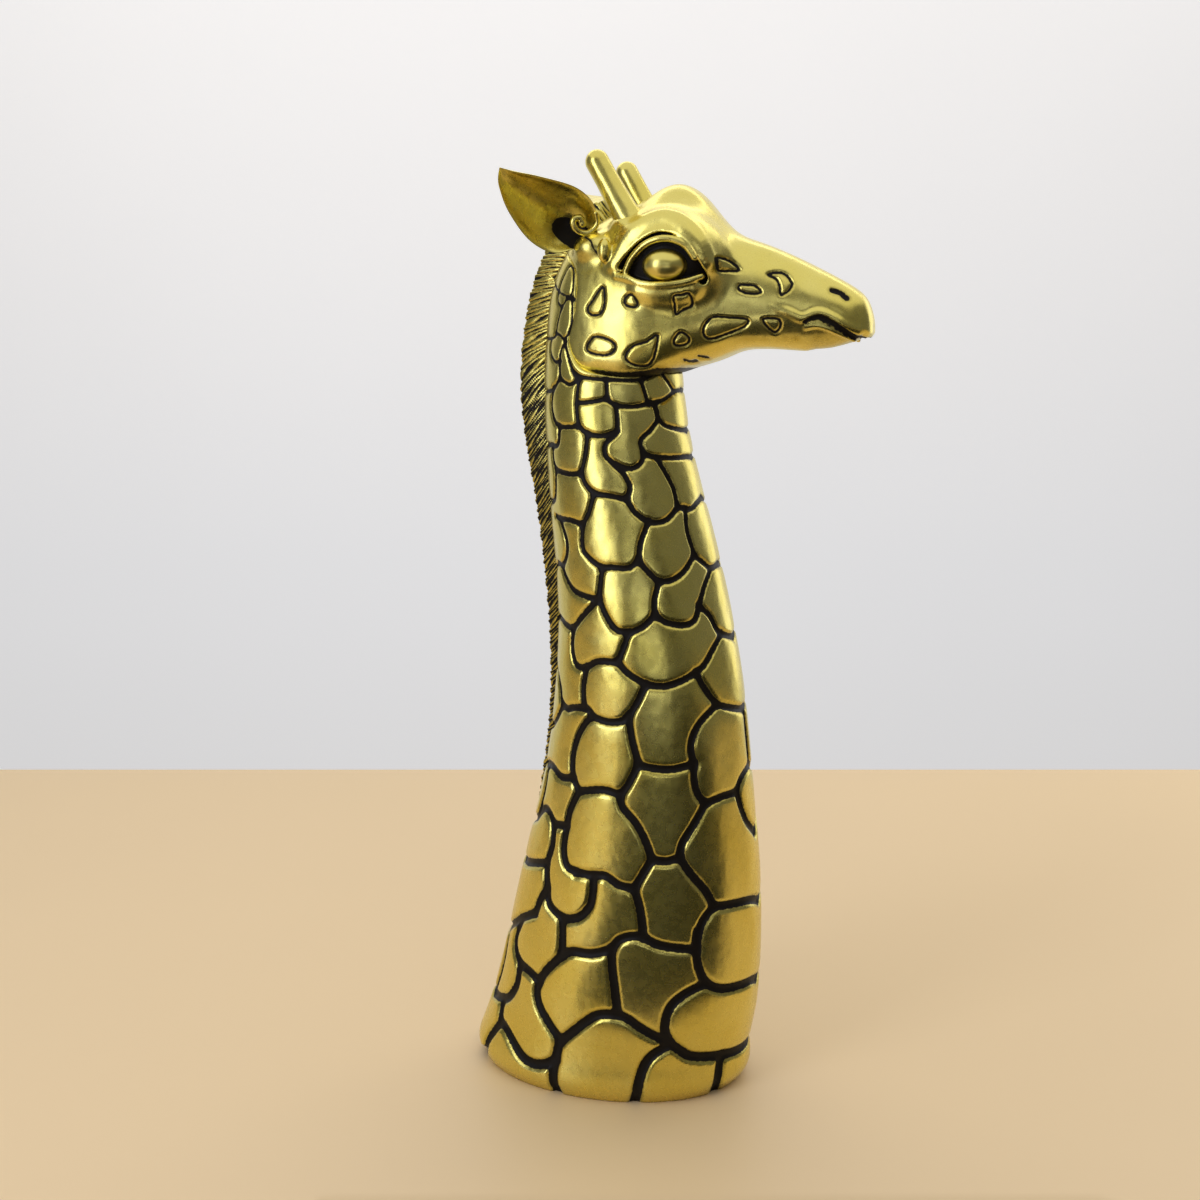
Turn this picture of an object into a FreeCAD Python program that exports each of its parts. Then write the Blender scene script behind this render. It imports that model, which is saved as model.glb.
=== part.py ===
"""Giraffe head-and-neck statue in cast resin: each piece is written as its own STEP file.

Frame: millimetres, +Z up, the giraffe looks along +X and is mirrored about the XZ plane.
The origin is the centre of the foot, on the surface the statue stands on.
"""

import FreeCAD
import Part
import math
import os

V = FreeCAD.Vector

# Neck, from the foot to the nape. Each station: height, back, front and half width.
FOOT = (0.0, -47.0, 47.5, 32.5)
FOOT_SHOULDER = (3.5, -49.5, 50.5, 34.5)
NECK_STATIONS = [
    FOOT,
    FOOT_SHOULDER,
    (12.0, -48.5, 51.8, 34.5),
    (25.0, -44.0, 53.5, 34.0),
    (46.0, -38.5, 55.0, 33.5),
    (77.0, -31.4, 54.3, 32.2),
    (108.0, -23.8, 51.3, 30.6),
    (139.0, -19.4, 47.9, 29.1),
    (170.0, -18.1, 42.3, 27.6),
    (200.0, -20.4, 34.8, 25.9),
    (231.0, -22.5, 26.9, 24.3),
    (250.0, -22.8, 24.5, 23.0),
    (268.0, -21.5, 22.5, 21.8),
    (283.0, -18.0, 18.0, 19.3),
    (292.0, -13.0, 10.0, 14.5),
]
NECK_WALL = 5.0
CAVITY_TOP = 228.0

# Joint between neck and head, seen from the side: it runs back from the throat along the
# jaw, then turns up behind the cheek.
JOINT_LINE = [
    (60.0, 252.0),
    (40.0, 250.5),
    (26.0, 249.0),
    (12.0, 247.5),
    (0.0, 248.5),
    (-7.0, 252.5),
    (-10.0, 260.0),
    (-10.0, 275.0),
    (-9.0, 290.0),
    (-9.0, 330.0),
]

# Head, from the nape to the muzzle. Each station: distance forward, top, underside,
# half width and the height of the widest point.
HEAD_STATIONS = [
    (-16.0, 289.0, 228.0, 17.5, 262.0),
    (-6.0, 297.5, 228.0, 22.0, 263.0),
    (6.0, 303.5, 229.0, 24.4, 264.0),
    (17.0, 308.0, 233.0, 24.6, 265.0),
    (26.0, 310.8, 242.0, 23.2, 267.0),
    (35.0, 304.5, 250.0, 20.5, 269.0),
    (45.0, 294.0, 255.5, 17.5, 270.0),
    (56.0, 289.5, 257.0, 15.0, 270.0),
    (67.0, 284.5, 257.0, 13.2, 268.5),
    (77.0, 279.0, 257.3, 11.4, 267.0),
    (84.0, 273.0, 258.7, 8.6, 265.0),
    (88.3, 267.0, 260.5, 3.6, 263.5),
]

HEAD_FULLNESS = 2.4

EYE_CENTRE = V(26.5, -21.5, 283.5)
EYE_R = 9.0
LID_R = 10.4
SOCKET_R = 12.2
EYE_OPEN_X = 7.0
EYE_OPEN_Z = 5.3
ORBIT_CENTRE = V(26.0, -14.5, 285.0)
ORBIT_SIZE = (18.0, 13.5, 16.5)
BROW_R = 13.5
BROW_ROD = 3.0

MOUTH_LINE = [(69.5, 266.3), (74.5, 267.2), (80.5, 264.0), (89.5, 260.3)]
MOUTH_GAP = 0.9
MOUTH_DEPTH = 2.0
NOSTRIL_CENTRE = V(79.0, -6.5, 276.6)
NOSTRIL_SIZE = (3.0, 2.6, 1.0)

HORN_FOOT = V(13.5, -15.7, 294.5)
HORN_END = V(0.4, -16.5, 317.2)
HORN_R = 3.8
HORN_COLLAR_R = 4.4

EAR_ROOT = V(-6.5, -18.5, 294.0)
EAR_AXIS = V(-0.467, -0.695, 0.547)
EAR_OPENING = V(0.570, -0.709, -0.415)
EAR_LEAF = [
    (35.0, 0.0),
    (30.0, 3.8),
    (22.0, 7.4),
    (14.0, 11.0),
    (7.0, 11.8),
    (1.5, 10.0),
    (-2.0, 5.0),
    (-3.0, -1.0),
    (-1.0, -7.0),
    (4.0, -10.5),
    (10.0, -11.2),
    (18.0, -9.4),
    (26.0, -6.4),
    (32.5, -2.8),
]
EAR_CUP_R = 13.0
EAR_CUP_OFFSET = 9.0
EAR_THICK = 1.8
EAR_STUB_R = 4.2
EAR_BASE_CENTRE = V(-1.5, -15.5, 290.0)
EAR_BASE_SIZE = (7.0, 6.5, 5.5)

MANE_OUTER = [
    (-3.0, 306.5),
    (-12.0, 302.5),
    (-19.5, 296.0),
    (-24.5, 288.0),
    (-29.5, 274.0),
    (-32.3, 256.0),
    (-32.6, 240.0),
    (-30.9, 225.0),
    (-26.5, 199.0),
    (-22.9, 165.0),
    (-22.4, 135.0),
    (-25.0, 110.0),
    (-28.2, 91.0),
]
MANE_HALF = 4.6
MANE_LOCKS = 44
LOCK_NOTCH = 1.1

PLATE_THICK = 4.0
FELT_THICK = 1.2

DOWEL_R = 2.5
DOWEL_LENGTH = 32.0
DOWEL_BOTTOM = 233.0
DOWEL_X = {"front": 16.0, "rear": 0.0}
PIN_R = 1.25
PIN_LENGTH = 16.0


def closed_curve(points):
    """Smooth closed wire through the points."""
    curve = Part.BSplineCurve()
    curve.interpolate(points, PeriodicFlag=True)
    return Part.Wire([curve.toShape()])


def oval(z, back, front, half, inset=0.0):
    """Horizontal oval section of the neck, drawn in by the inset."""
    a = (front - back) / 2.0 - inset
    b = half - inset
    xc = (front + back) / 2.0
    points = []
    for i in range(12):
        t = i * math.pi / 6.0
        points.append(V(xc + a * math.cos(t), b * math.sin(t), z))
    return closed_curve(points)


def neck_solid(inset=0.0):
    """Neck without the joint cut."""
    wires = [oval(*station, inset=inset) for station in NECK_STATIONS]
    return Part.makeLoft(wires, True)


def slab(bottom, top):
    """Wide horizontal layer between two heights."""
    return Part.makeBox(400, 400, top - bottom, V(-200, -200, bottom))


def neck_cavity():
    """Hollow of the neck, open at the foot."""
    inner = neck_solid(NECK_WALL)
    return inner.common(slab(-1.0, CAVITY_TOP))


def head_zone():
    """Everything on the head's side of the joint."""
    curve = Part.BSplineCurve()
    curve.interpolate([V(x, -60, z) for x, z in JOINT_LINE])
    first, last = JOINT_LINE[0], JOINT_LINE[-1]
    corners = [V(last[0], -60, last[1]), V(130, -60, 330)]
    corners += [V(130, -60, first[1]), V(first[0], -60, first[1])]
    edges = [curve.toShape()]
    for a, b in zip(corners, corners[1:]):
        edges.append(Part.makeLine(a, b))
    return Part.Face(Part.Wire(edges)).extrude(V(0, 120, 0))


def squared(value):
    """Circle coordinate pushed outwards, so a section is fuller than an ellipse."""
    return math.copysign(abs(value) ** (2.0 / HEAD_FULLNESS), value)


def egg(x, top, bottom, half, widest, inset=0.0):
    """Upright section of the head: an oval whose widest point can sit off centre."""
    up = top - widest - inset
    down = widest - bottom - inset
    points = []
    for i in range(16):
        t = i * math.pi / 8.0
        side, rise = squared(math.cos(t)), squared(math.sin(t))
        reach = up if rise > 0 else down
        points.append(V(x, (half - inset) * side, widest + reach * rise))
    return closed_curve(points)


def head_form(inset=0.0):
    """Plain head without its details."""
    return Part.makeLoft([egg(*s, inset=inset) for s in HEAD_STATIONS], True)


def mirrored(shape):
    """The same piece on the giraffe's left side."""
    return shape.mirror(V(0, 0, 0), V(0, 1, 0))


def both(shape):
    """A detail together with its mirror image."""
    return [shape, mirrored(shape)]


def eyelids():
    """Lid shell round the eyeball, with its almond opening."""
    shell = Part.makeSphere(LID_R, EYE_CENTRE).cut(Part.makeSphere(EYE_R, EYE_CENTRE))
    start = EYE_CENTRE + V(0, -30, 0)
    opening = Part.makeCylinder(1.0, 30.0, start, V(0, 1, 0))
    shape = FreeCAD.Matrix()
    shape.move(V(-EYE_CENTRE.x, 0, -EYE_CENTRE.z))
    shape.scale(EYE_OPEN_X, 1, EYE_OPEN_Z)
    shape.move(V(EYE_CENTRE.x, 0, EYE_CENTRE.z))
    return shell.cut(opening.transformGeometry(shape))


def ellipsoid(centre, half_sizes):
    """Ball stretched to three half sizes."""
    size = FreeCAD.Matrix()
    size.scale(*half_sizes)
    ball = Part.makeSphere(1.0, V(0, 0, 0)).transformGeometry(size)
    ball.translate(centre)
    return ball


def orbit():
    """Bulge of the head round the eye."""
    return ellipsoid(ORBIT_CENTRE, ORBIT_SIZE)


def ear_base():
    """Bulge of the head that the ear grows from."""
    return ellipsoid(EAR_BASE_CENTRE, EAR_BASE_SIZE)


def brow():
    """Arched ridge above the eye."""
    centre = EYE_CENTRE + V(0.5, 0.5, -0.5)
    arch = Part.makeTorus(BROW_R, BROW_ROD, V(0, 0, 0), V(0, 0, 1), -180, 180, 150)
    arch.rotate(V(0, 0, 0), V(0, 0, 1), 15)
    arch.rotate(V(0, 0, 0), V(1, 0, 0), 90)
    arch.translate(centre)
    ends = []
    for degrees in (15, 165):
        t = math.radians(degrees)
        tip = centre + V(BROW_R * math.cos(t), 0, BROW_R * math.sin(t))
        ends.append(Part.makeSphere(BROW_ROD, tip))
    return arch.multiFuse(ends)


def mouth():
    """Shallow slot of the mouth on both sides and round the lip."""
    upper = Part.BSplineCurve()
    upper.interpolate([V(x, -30, z + MOUTH_GAP / 2) for x, z in MOUTH_LINE])
    lower = Part.BSplineCurve()
    lower.interpolate([V(x, -30, z - MOUTH_GAP / 2) for x, z in MOUTH_LINE])
    a, b = upper.toShape(), lower.toShape()
    back = Part.makeLine(upper.StartPoint, lower.StartPoint)
    front = Part.makeLine(upper.EndPoint, lower.EndPoint)
    slot = Part.Face(Part.Wire(Part.__sortEdges__([a, front, b, back])))
    return slot.extrude(V(0, 60, 0)).cut(head_form(MOUTH_DEPTH))


def nostril():
    """Slanted nostril pocket."""
    pocket = ellipsoid(V(0, 0, 0), NOSTRIL_SIZE)
    pocket.rotate(V(0, 0, 0), V(0, 1, 0), 32)
    pocket.translate(NOSTRIL_CENTRE)
    return pocket


def rod(start, end, radius):
    """Round rod between two points."""
    way = end - start
    return Part.makeCylinder(radius, way.Length, start, way)


def horn():
    """Ossicone on the right side: a rod with a round end and a thicker collar."""
    collar_end = HORN_FOOT + (HORN_END - HORN_FOOT) * 0.38
    way = HORN_END - HORN_FOOT
    cone = Part.makeCone(HORN_COLLAR_R, HORN_R, way.Length * 0.38, HORN_FOOT, way)
    shaft = rod(collar_end, HORN_END, HORN_R)
    return cone.multiFuse([shaft, Part.makeSphere(HORN_R, HORN_END)])


def horn_pin():
    """Pin along the horn's axis, half in the horn and half in the head."""
    way = (HORN_END - HORN_FOOT).normalize()
    return rod(HORN_FOOT - way * 8.0, HORN_FOOT + way * (PIN_LENGTH - 8.0), PIN_R)


def ear_point(along, across, out=0.0):
    """Point given in the ear's own directions."""
    side = EAR_AXIS.cross(EAR_OPENING)
    return EAR_ROOT + EAR_AXIS * along + side * across + EAR_OPENING * out


def ear():
    """Cupped leaf of the right ear, on a short root that goes into the head."""
    leaf = closed_curve([ear_point(s, t, -12.0) for s, t in EAR_LEAF])
    block = Part.Face(leaf).extrude(EAR_OPENING * 24.0)
    start, end = ear_point(-12, 0, EAR_CUP_OFFSET), ear_point(45, 0, EAR_CUP_OFFSET)
    tube = rod(start, end, EAR_CUP_R).cut(rod(start, end, EAR_CUP_R - EAR_THICK))
    cup = block.common(tube)
    stub = rod(ear_point(-8, 0, -3.5), ear_point(4, 0, -3.5), EAR_STUB_R)
    stub = stub.cut(rod(start, end, EAR_CUP_R - EAR_THICK / 2))
    return cup.fuse(stub)


def ear_pin():
    """Pin along the ear's root."""
    return rod(ear_point(-16, 0, -5.6), ear_point(-4, 0, -5.6), PIN_R)


def mane_face_curve():
    """Outer line of the mane, seen from the side."""
    curve = Part.BSplineCurve()
    curve.interpolate([V(x, -MANE_HALF, z) for x, z in MANE_OUTER])
    return curve


def mane():
    """Hair ridge with slanted notches between the locks."""
    curve = mane_face_curve()
    first, last = MANE_OUTER[0], MANE_OUTER[-1]
    inside = [V(last[0], -MANE_HALF, last[1]), V(15, -MANE_HALF, last[1])]
    inside += [V(15, -MANE_HALF, 290), V(first[0], -MANE_HALF, first[1])]
    edges = [curve.toShape()]
    for a, b in zip(inside, inside[1:]):
        edges.append(Part.makeLine(a, b))
    ridge = Part.Face(Part.Wire(edges)).extrude(V(0, 2 * MANE_HALF, 0))
    notches = []
    for i in range(1, MANE_LOCKS):
        t = curve.FirstParameter
        t += (curve.LastParameter - curve.FirstParameter) * i / MANE_LOCKS
        point = curve.value(t)
        point.y = -MANE_HALF - 1
        block = Part.makeBox(LOCK_NOTCH, 2 * MANE_HALF + 2, LOCK_NOTCH)
        block.rotate(V(0, 0, 0), V(0, 1, 0), 45 - 25)
        block.translate(point - V(LOCK_NOTCH / 2, 0, 0))
        notches.append(block)
    return ridge.cut(notches)


def write(name, shape):
    """Save one piece as its own STEP file."""
    solids = shape.removeSplitter().Solids
    solids.sort(key=lambda s: s.Volume)
    solids[-1].exportStep("parts/" + name + ".step")
    print(name, len(solids), round(solids[-1].Volume / 1000.0, 2), "cm3")


def main():
    os.makedirs("parts", exist_ok=True)
    zone = head_zone()
    whole_neck = neck_solid()
    cavity = neck_cavity()
    dowels = {}
    for name, x in DOWEL_X.items():
        dowels[name] = rod(
            V(x, 0, DOWEL_BOTTOM), V(x, 0, DOWEL_BOTTOM + DOWEL_LENGTH), DOWEL_R
        )
    neck = whole_neck.cut(cavity).cut(zone).cut(list(dowels.values()))
    plate = slab(FELT_THICK, FELT_THICK + PLATE_THICK).common(cavity)
    felt = slab(0.0, FELT_THICK).common(cavity)

    sockets = both(Part.makeSphere(SOCKET_R, EYE_CENTRE + V(0, -3.0, 0)))
    head = head_form().multiFuse(both(orbit()) + both(ear_base())).cut(sockets)
    head = head.multiFuse(both(eyelids()) + both(brow()))
    head = head.common(zone)
    head = head.cut([mouth()] + both(nostril()))
    eye = Part.makeSphere(EYE_R, EYE_CENTRE)
    horn_shape, ear_shape = horn(), ear()
    pins = both(horn_pin()) + both(ear_pin()) + list(dowels.values())
    taken = both(eye) + both(horn_shape) + both(ear_shape) + pins
    hair = mane().cut([whole_neck, head_form().common(zone)])
    head = head.cut(taken)

    write("neck_shell", neck)
    write("head_casting", head)
    write("mane_strip", hair)
    write("base_plate", plate)
    write("felt_pad", felt)
    for name, dowel in dowels.items():
        write("head_dowel_" + name, dowel)
    sides = {
        "eye": eye,
        "horn": horn_shape.cut(horn_pin()),
        "ear": ear_shape.cut(ear_pin()),
        "horn_pin": horn_pin(),
        "ear_pin": ear_pin(),
    }
    for name, shape in sides.items():
        write(name + "_right", shape)
        write(name + "_left", mirrored(shape))


main()
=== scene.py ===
"""Looks of the giraffe statue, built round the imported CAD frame."""

import bpy
import math
import numpy as np
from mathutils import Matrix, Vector


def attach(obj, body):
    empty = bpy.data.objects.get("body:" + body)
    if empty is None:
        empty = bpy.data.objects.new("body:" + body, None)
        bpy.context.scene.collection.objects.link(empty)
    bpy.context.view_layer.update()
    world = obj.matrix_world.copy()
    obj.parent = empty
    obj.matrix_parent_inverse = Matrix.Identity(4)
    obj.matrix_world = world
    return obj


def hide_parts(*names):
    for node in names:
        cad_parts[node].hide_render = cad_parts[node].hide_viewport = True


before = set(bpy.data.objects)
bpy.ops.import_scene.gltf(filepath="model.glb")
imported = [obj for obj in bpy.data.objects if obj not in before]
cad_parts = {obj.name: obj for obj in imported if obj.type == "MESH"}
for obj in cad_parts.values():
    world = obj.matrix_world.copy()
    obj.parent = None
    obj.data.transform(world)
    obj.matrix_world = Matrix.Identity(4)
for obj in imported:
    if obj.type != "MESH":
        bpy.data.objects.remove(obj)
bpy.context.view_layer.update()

MM = 0.001
FULL_TURN = 2 * math.pi

# Every gold piece carries "ink": millimetres from the black paint, below 0 under it. Small values above 0
# darken the gold as patina, and under the ears as a painted shade.
NO_INK = 9.0
NEAR_INK = 1.0

# ---------------------------------------------------------------- small maths


def spline(xs, ys):
    """Natural cubic through the points, as a function of an array."""
    x, y = np.array(xs, float), np.array(ys, float)
    n, h = len(x), np.diff(np.array(xs, float))
    a, b = np.eye(n), np.zeros(n)
    for i in range(1, n - 1):
        a[i, i - 1 : i + 2] = h[i - 1], 2 * (h[i - 1] + h[i]), h[i]
        b[i] = 6 * ((y[i + 1] - y[i]) / h[i] - (y[i] - y[i - 1]) / h[i - 1])
    m = np.linalg.solve(a, b)

    def value(t):
        t = np.clip(t, x[0], x[-1])
        i = np.clip(np.searchsorted(x, t) - 1, 0, n - 2)
        d, e, w = t - x[i], x[i + 1] - t, h[i]
        s = (m[i] * e**3 + m[i + 1] * d**3) / (6 * w)
        return s + (y[i] / w - m[i] * w / 6) * e + (y[i + 1] / w - m[i + 1] * w / 6) * d

    return value


def smooth_line(points, per_span=5, closed=False):
    """Catmull-Rom line through the points, as an array of points."""
    p = np.array(points, float)
    n = len(p)
    spans = n if closed else n - 1
    out = []
    for i in range(spans):
        if closed:
            a, b, c, d = (p[(i + k) % n] for k in (-1, 0, 1, 2))
        else:
            b, c = p[i], p[i + 1]
            a = p[i - 1] if i else 2 * b - c
            d = p[i + 2] if i + 2 < n else 2 * c - b
        for t in np.arange(per_span) / per_span:
            out.append(
                0.5
                * (
                    2 * b
                    + (c - a) * t
                    + (2 * a - 5 * b + 4 * c - d) * t * t
                    + (3 * b - a - 3 * c + d) * t**3
                )
            )
    out.append(p[0] if closed else p[-1])
    return np.array(out)


def ramp(low, high, value):
    """0 below low, 1 above high, smooth between."""
    t = np.clip((value - low) / (high - low), 0, 1)
    return t * t * (3 - 2 * t)


def union(a, b, k):
    """Two distance fields joined with a fillet of about k."""
    h = np.clip(0.5 + 0.5 * (b - a) / k, 0, 1)
    return b * (1 - h) + a * h - k * h * (1 - h)


def common(a, b, k):
    """What two distance fields share, with its edge rounded by about k."""
    return -union(-a, -b, k)


def line_distance(points, line):
    """Distance from each point to a polyline, in two or three dimensions."""
    best = np.full(points.shape[:-1], 1e9)
    for a, b in zip(line[:-1], line[1:]):
        ab = b - a
        t = np.clip(((points - a) @ ab) / max(ab @ ab, 1e-9), 0, 1)
        d = points - a - t[..., None] * ab
        best = np.minimum(best, np.einsum("...i,...i->...", d, d))
    return np.sqrt(best)


# ---------------------------------------------------------------- meshes


def make_mesh(name, verts, faces, material, values=None):
    """Mesh object in millimetres, with one number a vertex for each named attribute."""
    me = bpy.data.meshes.new(name)
    faces = np.asarray(faces, np.int32)
    me.vertices.add(len(verts))
    me.vertices.foreach_set("co", (np.asarray(verts) * MM).astype(np.float32).ravel())
    size = faces.shape[1]
    me.loops.add(faces.size)
    me.loops.foreach_set("vertex_index", faces.ravel())
    me.polygons.add(len(faces))
    me.polygons.foreach_set("loop_start", np.arange(0, faces.size, size, dtype=np.int32))
    me.update(calc_edges=True)
    me.validate()
    for key, numbers in (values or {}).items():
        layer = me.attributes.new(key, "FLOAT", "POINT")
        layer.data.foreach_set("value", np.asarray(numbers, np.float32).ravel())
    me.polygons.foreach_set("use_smooth", np.ones(len(me.polygons), bool))
    me.materials.append(material)
    obj = bpy.data.objects.new(name, me)
    bpy.context.scene.collection.objects.link(obj)
    return obj


def grid_faces(rows, cols):
    """Quads of rings of vertices numbered row by row, each ring closed on itself."""
    j = np.arange(rows - 1)[:, None]
    i = np.arange(cols)[None, :]
    k = (i + 1) % cols
    quads = np.stack([j * cols + i, j * cols + k, (j + 1) * cols + k, (j + 1) * cols + i], -1)
    return quads.reshape(-1, 4)


def cap_faces(first, count, centre, flip):
    """Quads that close a ring with an even count of vertices round a centre vertex."""
    i = np.arange(0, count, 2)
    a, b, c = first + i, first + i + 1, first + (i + 2) % count
    m = np.full_like(a, centre)
    return np.stack([c, b, a, m] if flip else [a, b, c, m], -1)


def put(obj, node):
    """The piece stands for its CAD node."""
    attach(obj, "root")
    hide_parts(node)


# ---------------------------------------------------------------- neck

# Height, back, front and half width of the neck, the same stations as the solid's loft.
NECK = np.array(
    [
        (0.0, -47.0, 47.5, 32.5),
        (3.5, -49.5, 50.5, 34.5),
        (12.0, -48.5, 51.8, 34.5),
        (25.0, -44.0, 53.5, 34.0),
        (46.0, -38.5, 55.0, 33.5),
        (77.0, -31.4, 54.3, 32.2),
        (108.0, -23.8, 51.3, 30.6),
        (139.0, -19.4, 47.9, 29.1),
        (170.0, -18.1, 42.3, 27.6),
        (200.0, -20.4, 34.8, 25.9),
        (231.0, -22.5, 26.9, 24.3),
        (250.0, -22.8, 24.5, 23.0),
        (268.0, -21.5, 22.5, 21.8),
        (283.0, -18.0, 18.0, 19.3),
        (292.0, -13.0, 10.0, 14.5),
    ]
)
NECK_BACK, NECK_FRONT, NECK_HALF = (spline(NECK[:, 0], NECK[:, k]) for k in (1, 2, 3))

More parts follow.
